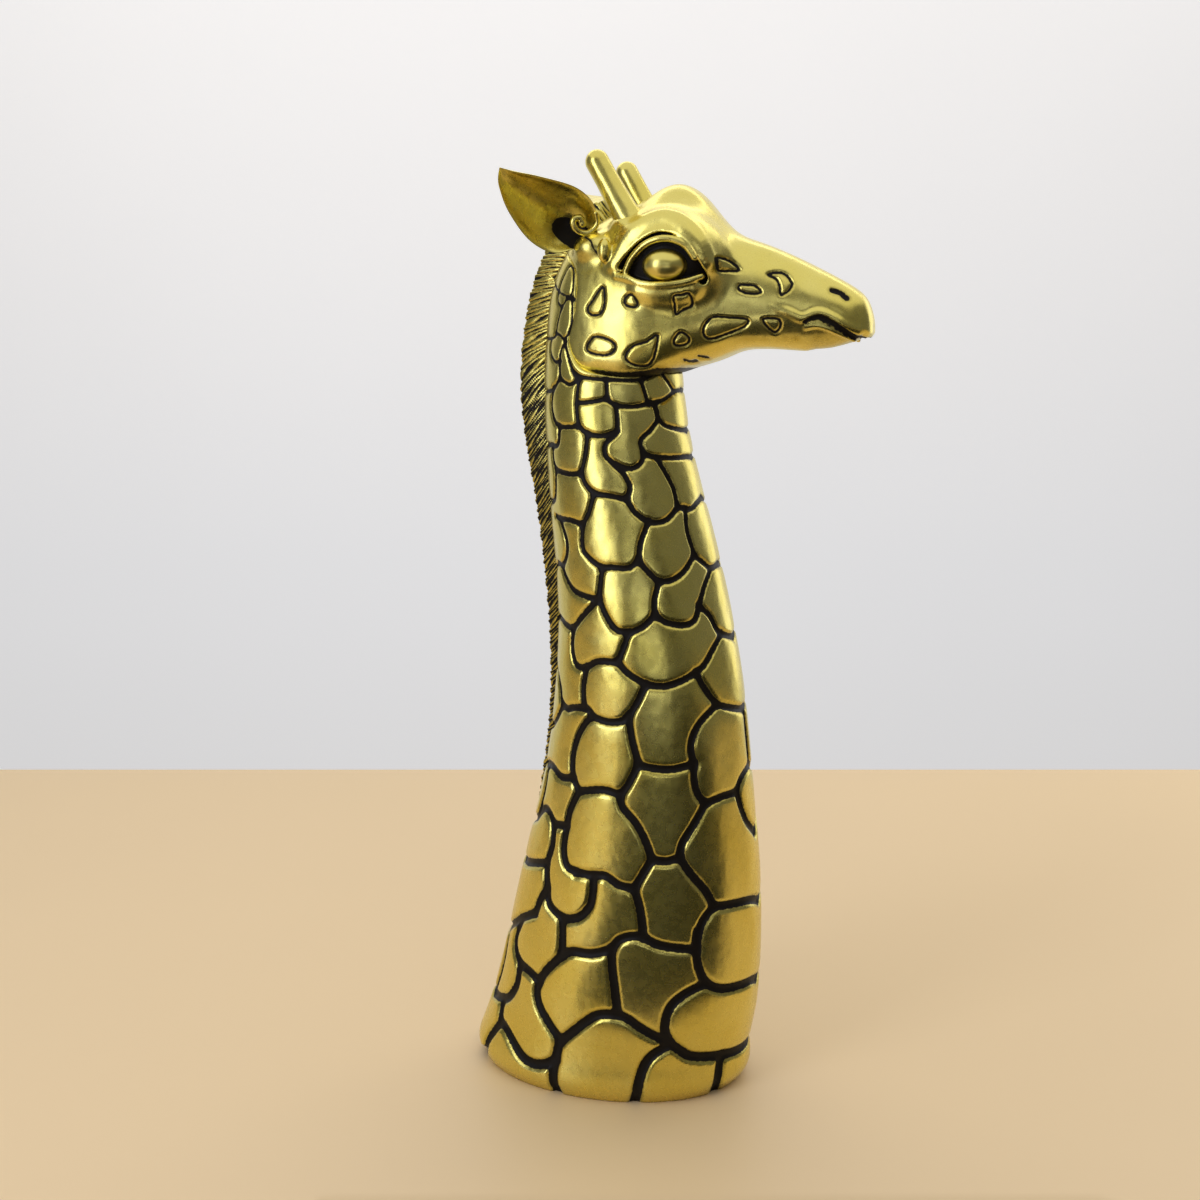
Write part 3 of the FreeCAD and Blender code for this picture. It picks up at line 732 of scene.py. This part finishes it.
def make_head(material):
    """Head skinned from its field, with the marks on its skin engraved."""
    step = HEAD_GRID
    axes = [np.arange(-19, 92, step), np.arange(step / 2, 35, step), np.arange(244, 315, step)]
    half = sample_field(head_form, axes)
    values = np.concatenate([half[:, ::-1], half], 1)
    axes[1] = np.concatenate([-axes[1][::-1], axes[1]])
    verts, quads = surface_net(values, axes)
    verts = settle(head_form, verts)
    out = slope(head_form, verts)
    out /= np.maximum(np.linalg.norm(out, axis=-1, keepdims=True), 1e-6)
    marks = [on_side(smooth_line(spot, 3, closed=True), 2.5) for spot in SPOTS]
    marks += [on_side(smooth_line(mark, 3), 2.5) for mark in SMALL_MARKS]
    p = mirrored(verts)
    spot = np.min([wall(p, mark, 0.0) for mark in marks], axis=0)
    x, z = p[:, 0], p[:, 2]
    ink = np.minimum(spot - MARK_HALF, skull(verts) + 1.1)
    ink = np.minimum(ink, -head_side(x, z) - 0.7)
    ink = np.minimum(ink, wall(p, LINES["ear_line"], 0.3))
    ink = np.minimum(ink, rod(p, LINES["mouth"], 0.0) - 1.0 - 0.45 * ramp(69, 75, x))
    # Painted shade under the ear's lower rim: a small ink value that darkens the gold there.
    ink = np.minimum(ink, 0.2 + ramp(-1.0, 2.0, ellipsoid(p, (-3.5, 19, 287.6), (6.5, 5, 2.0))))
    ink = np.minimum(ink, rod(p, LINES["nostril"], NOSTRIL_RADIUS + 0.25))
    depth = MARK_DEPTH * (1 - ramp(0.1, 1.0, spot))
    return make_mesh("head", verts - out * depth[:, None], quads, material, {"ink": ink})


# ---------------------------------------------------------------- tubes and rings


def ring_skin(rings):
    """Vertices and quads of a closed skin through rings of points, capped at both ends."""
    rows, cols = rings.shape[:2]
    verts = np.concatenate([rings.reshape(-1, 3), [rings[0].mean(0), rings[-1].mean(0)]])
    faces = [grid_faces(rows, cols), cap_faces(0, cols, rows * cols, True)]
    faces.append(cap_faces((rows - 1) * cols, cols, rows * cols + 1, False))
    return verts, np.concatenate(faces)


def tube(path, radii, sides=24):
    """Round tube along a path, with a radius at each point."""
    along = np.gradient(path, axis=0)
    along /= np.linalg.norm(along, axis=1, keepdims=True)
    up = np.cross(along[0], (0.3, 0.9, 0.2))
    rings = []
    for place, t, r in zip(path, along, radii):
        up = up - t * (up @ t)
        up /= np.linalg.norm(up)
        turn = np.arange(sides)[:, None] * FULL_TURN / sides
        rings.append(place + r * (np.cos(turn) * up + np.sin(turn) * np.cross(t, up)))
    return ring_skin(np.array(rings))


def join(parts):
    """Several skins as one."""
    verts, faces, first = [], [], 0
    for v, f in parts:
        verts.append(v)
        faces.append(f + first)
        first += len(v)
    return np.concatenate(verts), np.concatenate(faces)


def on_both_sides(make, name, node, material):
    """The right piece as made and its mirror image on the left."""
    verts, faces, values = make()
    for side, sign in (("right", 1), ("left", -1)):
        turned = faces if sign > 0 else faces[:, ::-1]
        piece = make_mesh(f"{name}_{side}", verts * (1, sign, 1), turned, material, values)
        put(piece, f"{node}_{side}")


# ---------------------------------------------------------------- ears

EAR_ROOT = np.array([-6.5, -18.5, 294.0])
EAR_AXIS = np.array([-0.467, -0.695, 0.547])
EAR_OPENING = np.array([0.570, -0.709, -0.415])
EAR_SIDE = np.cross(EAR_AXIS, EAR_OPENING)
EAR_STATIONS = (-9, -6, -4, -2, 0.5, 5, 11.6, 20, 26, 30.5, 33.6, 35.2)
EAR_UPPER = spline(EAR_STATIONS, (3.5, 5, 6.6, 8.4, 10.4, 11.9, 11.4, 7.9, 4.9, 2.4, 0.9, 0.15))
EAR_LOWER = spline(EAR_STATIONS, (0.5, 0, -1.8, -4.8, -7.9, -10.2, -10.9, -9.4, -7.4, -5.0, -2.5, -0.2))
EAR_BOWL = spline(EAR_STATIONS, (0, 0.6, 2.2, 4.6, 6.6, 7.6, 6.6, 4.7, 3.0, 1.6, 0.7, 0))
EAR_SIDES = 96
EAR_CURL = [
    (0.5, 10.2, -0.2), (-2.4, 8.2, 0.2), (-3.2, 5.6, 0.3), (-2.5, 3.2, 0.1),
    (-0.7, 1.9, -0.3), (1.4, 1.7, -0.8), (2.9, 2.5, -1.4), (3.2, 3.9, -1.8),
    (2.2, 4.9, -1.8), (0.9, 4.6, -1.5),
]


def ear_place(s, t, w):
    """Place of a point along, across and out of the right ear's leaf."""
    steps = ((s, EAR_AXIS), (t, EAR_SIDE), (w, EAR_OPENING))
    parts = [np.asarray(length, float)[..., None] * way for length, way in steps]
    return EAR_ROOT + parts[0] + parts[1] + parts[2]


def ear_shape():
    """Cupped leaf with a rolled lip, and the curl at the front of its root."""
    s = np.concatenate([np.arange(-9, 30, 0.42), 30 + 5.2 * np.sin(np.linspace(0, math.pi / 2, 24))])
    turn = np.arange(EAR_SIDES) * FULL_TURN / EAR_SIDES
    s, turn = np.meshgrid(s, turn, indexing="ij")
    across = -np.cos(turn)
    across = np.sign(across) * np.abs(across) ** 0.8
    middle, half = (EAR_UPPER(s) + EAR_LOWER(s)) / 2, (EAR_UPPER(s) - EAR_LOWER(s)) / 2
    bowl = EAR_BOWL(s) * (1 - np.abs(across) ** 1.7)
    lip = 0.7 * ramp(0.72, 0.97, np.abs(across)) * ramp(36, 30, s)
    tip = ramp(36, 31, s) * 0.75 + 0.25
    front = np.sin(turn) > 0
    thick = np.where(front, (0.5 + lip) * tip, (1.3 + 0.5 * lip) * tip)
    w = -bowl + thick * np.sin(turn)
    leaf = ring_skin(ear_place(s, middle + half * across, w))
    t = middle + half * across
    cavity = np.hypot((s + 0.4) / 6.4, (t + 0.4 + 0.25 * s) / 4.2) - 1
    ink = np.where(front, cavity * 4, NO_INK)
    path = smooth_line(EAR_CURL, 8)
    share = np.linspace(0, 1, len(path))
    radii = 0.75 + 0.6 * share
    end = path[-1] + np.array([[-0.6, -0.3, 0.2], [-1.2, -0.6, 0.35], [-1.7, -0.85, 0.45]])
    path = np.concatenate([path, end])
    radii = np.concatenate([radii, [1.55, 1.35, 0.6]])
    radii[0] = 0.3
    curl = tube(ear_place(*path.T), radii)
    verts, faces = join([leaf, curl])
    values = np.concatenate([ink.ravel(), np.full(2 + len(curl[0]), NO_INK)])
    return verts, faces, {"ink": values}


# ---------------------------------------------------------------- horns and eyes

HORN_FOOT = np.array([12.6, -15.7, 296.0])
HORN_END = np.array([0.4, -16.5, 317.2])
HORN_RADIUS = 3.9
HORN_TAPER = 0.7
HORN_FLARE = 1.5
HORN_CAP = 3.95
HORN_SIDES = 48
HORN_FOOT_RINGS = 12
EYE_CENTRE = np.array([25.2, -21.6, 283.8])
EYE_SIZE = np.array([7.7, 7.9, 5.7])
EYE_SIDES = 80


def horn_shape():
    """Blunt horn with a round end, flared at its foot."""
    length = np.linalg.norm(HORN_END - HORN_FOOT)
    end = length + HORN_RADIUS * np.sin(np.linspace(0, 1.52, 18)[1:])
    s = np.concatenate([np.linspace(-3, length, 70), end])
    body = HORN_RADIUS + HORN_FLARE * np.exp(-((s + 1) / 2.2)) + HORN_TAPER * ramp(length * 0.8, 0, s)
    cap = np.sqrt(np.clip(1 - (np.maximum(s - length, 0) / HORN_CAP) ** 2, 0, 1))
    along = (HORN_END - HORN_FOOT) / length
    verts, faces = tube(HORN_FOOT + s[:, None] * along, body * cap, HORN_SIDES)
    ink = np.full(len(verts), NO_INK)
    ink[: HORN_SIDES * HORN_FOOT_RINGS] = NEAR_INK
    return verts, faces, {"ink": ink}


def eye_shape():
    """Domed eyeball, flatter in front than a ball, with a faint ring where it meets the lids."""
    up = np.linspace(-math.pi / 2, math.pi / 2, 60)[1:-1, None]
    turn = np.arange(EYE_SIDES)[None, :] * FULL_TURN / EYE_SIDES
    ring = np.cos(up) ** 0.92
    x, z = ring * np.cos(turn), ring * np.sin(turn)
    y = -np.sin(up) + 0 * turn
    groove = 1 - 0.02 * np.exp(-(((up - 0.42) / 0.05) ** 2))
    verts, faces = ring_skin(EYE_CENTRE + EYE_SIZE * np.stack([x * groove, y, z * groove], -1))
    return verts, faces, {"ink": np.full(len(verts), NO_INK)}


# ---------------------------------------------------------------- mane

MANE = [
    (-1, 307), (-6, 305.6), (-12, 302.5), (-19.5, 296), (-24.5, 288),
    (-29.5, 274), (-32.3, 256), (-32.6, 240), (-30.9, 225), (-26.5, 199),
    (-22.9, 165), (-22.4, 135), (-25, 110), (-28.2, 91),
]
LOCK_PITCH = 1.6
CREST_HALF = 1.8
ROOT_HALF = 4.7
MANE_SIDES = 68


def make_mane(material):
    """Upright strip of hair from the crown down the nape, in slanted locks."""
    path = smooth_line(MANE, 24)
    s = np.concatenate([[0], np.cumsum(np.linalg.norm(np.diff(path, axis=0), axis=1))])
    even = np.arange(0, s[-1], 0.22)
    x, z = np.interp(even, s, path[:, 0]), np.interp(even, s, path[:, 1])
    along = np.stack([np.gradient(x), np.gradient(z)], -1)
    along /= np.linalg.norm(along, axis=1, keepdims=True)
    inward = np.stack([-along[:, 1], along[:, 0]], -1)
    inward *= np.where(inward[:, :1] < 0, -1, 1)
    deep = np.where(z > 284, 10.0, np.clip(NECK_BACK(z) - x + 3.5, 3.5, 14))
    turn = (np.arange(MANE_SIDES) * FULL_TURN / MANE_SIDES)[None, :]
    out = (1 - np.cos(turn)) / 2
    low = ramp(262, 236, z)[:, None]
    s2 = even[:, None] - (0.55 + 0.45 * low) * deep[:, None] * out
    s2 = s2 + 0.4 * np.sin(s2 * 0.83 + 2.5 * out) + 0.22 * np.sin(s2 * 2.1 + 5 * out)
    hair = np.abs(np.sin(math.pi * s2 / LOCK_PITCH))
    faded = 0.5 + 0.5 * np.sin(s2 * 1.37 + 8 * out + 2 * np.sin(s2 * 0.29))
    ends = (ramp(0, 5, even) * ramp(0, 12, even[-1] - even))[:, None]
    half = (ROOT_HALF + (CREST_HALF - ROOT_HALF) * out) * (0.35 + 0.65 * ends) * (0.84 + 0.16 * hair)
    y = half * np.sign(np.sin(turn)) * np.abs(np.sin(turn)) ** 0.4
    crest = deep[:, None] * (1 - out) - 0.45 * (hair + faded - 1) * ramp(0.6, 1, out) * ends
    px = x[:, None] + inward[:, :1] * crest
    pz = z[:, None] + inward[:, 1:] * crest
    verts, faces = ring_skin(np.stack([px, y, pz], -1))
    # Black between the locks; the larger share of black towards the lower end is a painted shade.
    ink = (hair - 0.42 - 0.32 * low - 0.3 * (faded - 0.5)) * 0.9
    ink = np.concatenate([ink.ravel(), [1.0, 1.0]])
    return make_mesh("mane", verts, faces, material, {"ink": ink})


# ---------------------------------------------------------------- materials


def new_material(name):
    """Node material and its principled shader."""
    mat = bpy.data.materials.new(name)
    mat.use_nodes = True
    return mat, mat.node_tree.nodes["Principled BSDF"]


def node(mat, kind, inputs=(), **settings):
    """Node with its settings; inputs are numbers or sockets, by name or place."""
    made = mat.node_tree.nodes.new(kind)
    for key, value in settings.items():
        setattr(made, key, value)
    for key, value in dict(inputs).items():
        if isinstance(value, bpy.types.NodeSocket):
            mat.node_tree.links.new(value, made.inputs[key])
        else:
            made.inputs[key].default_value = value
    return made


def place_of(mat, scale=(1, 1, 1)):
    """Object coordinates in millimetres, stretched by a scale."""
    where = node(mat, "ShaderNodeTexCoord").outputs["Object"]
    size = [1000 * k for k in scale]
    return node(mat, "ShaderNodeMapping", {"Vector": where, "Scale": size}).outputs["Vector"]


def noise(mat, scale, detail=3.0, stretch=(1, 1, 1)):
    """Noise value with about so many cells a millimetre."""
    where = place_of(mat, stretch)
    made = node(mat, "ShaderNodeTexNoise", {"Vector": where, "Scale": scale, "Detail": detail})
    return made.outputs["Fac"]


def remap(mat, value, low, high, to_low=0.0, to_high=1.0):
    """Value moved from one range to another and held inside it."""
    numbers = {"Value": value, "From Min": low, "From Max": high, "To Min": to_low, "To Max": to_high}
    return node(mat, "ShaderNodeMapRange", numbers).outputs["Result"]


def mix(mat, share, a, b):
    """Colour between a and b."""
    made = node(mat, "ShaderNodeMix", data_type="RGBA")
    for place, value in ((0, share), (6, a), (7, b)):
        if isinstance(value, bpy.types.NodeSocket):
            mat.node_tree.links.new(value, made.inputs[place])
        else:
            made.inputs[place].default_value = value
    return made.outputs[2]


def math_node(mat, operation, a, b):
    """Result of one sum on two values or sockets."""
    return node(mat, "ShaderNodeMath", {0: a, 1: b}, operation=operation).outputs[0]


def connect(mat, shader, **sockets):
    """Links given by the shader's socket names, with _ for a space."""
    for key, value in sockets.items():
        mat.node_tree.links.new(value, shader.inputs[key.replace("_", " ")])


GOLD = (0.76, 0.65, 0.18, 1)
DEEP_GOLD = (0.72, 0.59, 0.12, 1)
# Dark olive for the patina beside the paint, also used for the painted shade under the ears.
PATINA_AND_SHADE = (0.30, 0.24, 0.05, 1)
BLACK = (0.010, 0.008, 0.006, 1)
PAINT_ROUGHNESS = 0.42
COAT_SPECULAR = 0.12


def gold_material(name, roughness=0.27):
    """Satin champagne gold with black paint left in its grooves."""
    mat, shader = new_material(name)
    ink = node(mat, "ShaderNodeAttribute", attribute_name="ink").outputs["Fac"]
    ragged = remap(mat, noise(mat, 0.9, 4.0), 0.3, 0.7, -0.13, 0.13)
    edge = math_node(mat, "ADD", ink, ragged)
    paint = remap(mat, edge, -0.07, 0.09, 1.0, 0.0)
    # Gold darkens just outside the paint as patina; under the ears the same darkening is a painted shade.
    patina_and_shade_mask = remap(mat, math_node(mat, "ADD", edge, ragged), 0.0, 1.0, 0.55, 0.0)
    cloud = noise(mat, 0.045, 4.0)
    tone = mix(mat, remap(mat, cloud, 0.35, 0.7), GOLD, DEEP_GOLD)
    patina_and_shade_colour = mix(mat, patina_and_shade_mask, tone, PATINA_AND_SHADE)
    sweep = noise(mat, 0.11, 2.0, (1, 1, 0.6))
    grain = noise(mat, 0.35, 1.0)
    metal_rough = remap(mat, grain, 0.3, 0.75, roughness - 0.02, roughness + 0.03)
    rough = node(mat, "ShaderNodeMix", {"Factor": paint, "A": metal_rough, "B": PAINT_ROUGHNESS})
    shine = math_node(mat, "SUBTRACT", 1.0, paint)
    bump = node(mat, "ShaderNodeBump", {"Height": sweep, "Strength": 0.35, "Distance": 0.0012})
    colour = mix(mat, paint, patina_and_shade_colour, BLACK)
    shader.inputs["Specular IOR Level"].default_value = COAT_SPECULAR
    connect(mat, shader, Base_Color=colour, Roughness=rough.outputs["Result"], Metallic=shine)
    connect(mat, shader, Normal=bump.outputs["Normal"])
    return mat


def board_material():
    """Dark fibre board that closes the foot."""
    mat, shader = new_material("board_dark")
    fibre = noise(mat, 0.9, 6.0, (0.25, 1, 1))
    tone = mix(mat, remap(mat, fibre, 0.35, 0.7), (0.07, 0.06, 0.05, 1), (0.16, 0.145, 0.13, 1))
    bump = node(mat, "ShaderNodeBump", {"Height": fibre, "Strength": 0.3, "Distance": 0.0004})
    rough = remap(mat, fibre, 0.2, 0.8, 0.7, 0.9)
    connect(mat, shader, Base_Color=tone, Roughness=rough, Normal=bump.outputs["Normal"])
    return mat


def felt_material():
    """Black felt with short matted fibres."""
    mat, shader = new_material("felt_black")
    mat_fibre = noise(mat, 2.2, 8.0, (1, 0.5, 1))
    clump = noise(mat, 0.25, 3.0)
    tone = mix(mat, mat_fibre, (0.012, 0.012, 0.013, 1), (0.075, 0.073, 0.07, 1))
    tone = mix(mat, remap(mat, clump, 0.4, 0.7, 0.0, 0.5), tone, (0.035, 0.034, 0.033, 1))
    bump = node(mat, "ShaderNodeBump", {"Height": mat_fibre, "Strength": 0.7, "Distance": 0.0006})
    shader.inputs["Sheen Weight"].default_value = 0.5
    rough = remap(mat, mat_fibre, 0.2, 0.8, 0.85, 1.0)
    connect(mat, shader, Base_Color=tone, Roughness=rough, Normal=bump.outputs["Normal"])
    return mat


def steel_material():
    """Drawn steel rod with fine lengthwise marks."""
    mat, shader = new_material("steel_pin")
    marks = noise(mat, 2.5, 4.0, (1, 1, 0.08))
    tone = mix(mat, marks, (0.42, 0.42, 0.43, 1), (0.62, 0.61, 0.60, 1))
    bump = node(mat, "ShaderNodeBump", {"Height": marks, "Strength": 0.2, "Distance": 0.0001})
    shader.inputs["Metallic"].default_value = 1.0
    rough = remap(mat, marks, 0.2, 0.8, 0.25, 0.4)
    connect(mat, shader, Base_Color=tone, Roughness=rough, Normal=bump.outputs["Normal"])
    return mat


# ---------------------------------------------------------------- stage

VIEW_TURN = math.radians(18.0)
VIEW_DOWN = math.radians(9.57)
CAMERA_PLACE = np.array([155.1, -489.8, 257.5])
LENS = 44.64
SENSOR = 36.0
CARD_AHEAD = -560
LAMP_AHEAD = -640
COOL = (0.93, 0.98, 1.15)
SIDEWAYS = np.array([math.cos(VIEW_TURN), math.sin(VIEW_TURN), 0])
AHEAD = np.array([-math.sin(VIEW_TURN), math.cos(VIEW_TURN), 0])


def on_stage(right, ahead, up):
    """Place as the camera sees it: millimetres right of the statue, beyond it and above the floor."""
    return (right * SIDEWAYS + ahead * AHEAD + np.array([0, 0, up])) * MM


def plain_material(name, colour, roughness, glow=0.0):
    """Matte surface with a very faint cloud in it, faintly lit from within if asked."""
    mat, shader = new_material(name)
    cloud = noise(mat, 0.004, 2.0)
    pale = [c * 0.96 for c in colour[:3]] + [1]
    connect(mat, shader, Base_Color=mix(mat, cloud, pale, colour))
    shader.inputs["Roughness"].default_value = roughness
    shader.inputs["Emission Color"].default_value = colour
    shader.inputs["Emission Strength"].default_value = glow
    return mat


def plane(name, corners, material):
    """Flat staged sheet between four corners in metres."""
    me = bpy.data.meshes.new(name)
    me.from_pydata([tuple(c) for c in corners], [], [(0, 1, 2, 3)])
    me.materials.append(material)
    obj = bpy.data.objects.new(name, me)
    bpy.context.scene.collection.objects.link(obj)
    return obj


def soft_light(name, place, aim, size, power, colour=(1, 1, 1)):
    """Rectangular soft box turned to a place, unseen by the camera."""
    data = bpy.data.lights.new(name, "AREA")
    data.shape, data.size, data.size_y = "RECTANGLE", size[0] * MM, size[1] * MM
    data.energy, data.color = power, colour
    obj = bpy.data.objects.new(name, data)
    obj.location = on_stage(*place)
    towards = Vector(on_stage(*aim) - on_stage(*place))
    obj.rotation_euler = towards.to_track_quat("-Z", "Y").to_euler()
    obj.visible_camera = False
    bpy.context.scene.collection.objects.link(obj)


def dark_card(name, corners):
    """Dark sheet that only reflections see, standing for the unlit side of the room."""
    dull = plain_material(name, (0.02, 0.018, 0.012, 1), 0.9)
    card = plane(name, [on_stage(*c) for c in corners], dull)
    card.visible_camera = card.visible_diffuse = card.visible_shadow = False


def make_room():
    """Table top and wall, with an even light from all round."""
    table = plain_material("floor_pale", (0.84, 0.62, 0.345, 1), 0.5)
    wall = plain_material("wall_pale", (0.90, 0.89, 0.88, 1), 0.9, 0.45)
    near, far, wide = -1400, 380, 1300
    corners = [(-wide, near, 0), (wide, near, 0), (wide, far, 0), (-wide, far, 0)]
    plane("floor", [on_stage(*c) for c in corners], table)
    beyond, low, high, wide = 1300, -900, 1800, 2400
    corners = [(-wide, beyond, low), (wide, beyond, low), (wide, beyond, high), (-wide, beyond, high)]
    plane("wall", [on_stage(*c) for c in corners], wall)
    world = bpy.data.worlds.new("room")
    world.use_nodes = True
    bpy.context.scene.world = world
    back = world.node_tree.nodes["Background"]
    back.inputs["Color"].default_value = (0.93, 0.94, 1.0, 1)
    back.inputs["Strength"].default_value = 0.17


def make_lights():
    """Soft boxes, and dark cards that put the dark bands in the gold."""
    soft_light("left_box", (-520, -480, 360), (0, 0, 230), (270, 560), 1.6, (0.9, 0.96, 1.2))
    soft_light("right_box", (560, 380, 330), (0, 0, 200), (300, 560), 0.5)
    soft_light("near_box", (-20, LAMP_AHEAD, 145), (0, 0, 220), (300, 110), 0.13, COOL)
    soft_light("upper_box", (-20, LAMP_AHEAD, 365), (0, 0, 230), (300, 90), 0.09, COOL)
    soft_light("top_box", (0, -100, 900), (0, -100, 0), (1700, 1700), 6.8)
    soft_light("wall_wash", (0, 850, 1250), (0, 1300, 250), (2600, 400), 6.0)
    dark_card("low_card", [(-90, -90, 1), (150, -90, 1), (980, CARD_AHEAD, 1), (-430, CARD_AHEAD, 1)])
    front = [(-260, CARD_AHEAD, 0), (700, CARD_AHEAD, 0), (420, CARD_AHEAD, 112), (-240, CARD_AHEAD, 112)]
    dark_card("front_card", front)
    level = [(-300, CARD_AHEAD, 190), (340, CARD_AHEAD, 190), (340, CARD_AHEAD, 300), (-300, CARD_AHEAD, 300)]
    dark_card("head_card", level)


def make_camera():
    """Camera a little right of the side view, looking slightly down."""
    data = bpy.data.cameras.new("camera")
    data.lens, data.sensor_width = LENS, SENSOR
    data.clip_start, data.clip_end = 0.01, 20.0
    cam = bpy.data.objects.new("camera", data)
    cam.location = CAMERA_PLACE * MM
    look = AHEAD * math.cos(VIEW_DOWN) - np.array([0, 0, math.sin(VIEW_DOWN)])
    cam.rotation_euler = Vector(look).to_track_quat("-Z", "Y").to_euler()
    bpy.context.scene.collection.objects.link(cam)
    bpy.context.scene.camera = cam
    bpy.context.scene.view_settings.view_transform = "Standard"


def finish_node(name, material):
    """CAD node that keeps its shape and gets a better material."""
    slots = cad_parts[name].data.materials
    slots.clear()
    slots.append(material)


# ---------------------------------------------------------------- assembly

gold = gold_material("champagne_gold")
eye_gold = gold_material("eye_gold", roughness=0.30)
put(make_neck(gold), "neck_shell")
put(make_head(gold), "head_casting")
put(make_mane(gold), "mane_strip")
on_both_sides(ear_shape, "ear_leaf", "ear", gold)
on_both_sides(horn_shape, "horn_knob", "horn", gold)
on_both_sides(eye_shape, "eye_dome", "eye", eye_gold)
finish_node("base_plate", board_material())
finish_node("felt_pad", felt_material())
steel = steel_material()
for dowel in ("front", "rear"):
    finish_node(f"head_dowel_{dowel}", steel)
for side in ("right", "left"):
    finish_node(f"ear_pin_{side}", steel)
    finish_node(f"horn_pin_{side}", steel)
make_room()
make_lights()
make_camera()
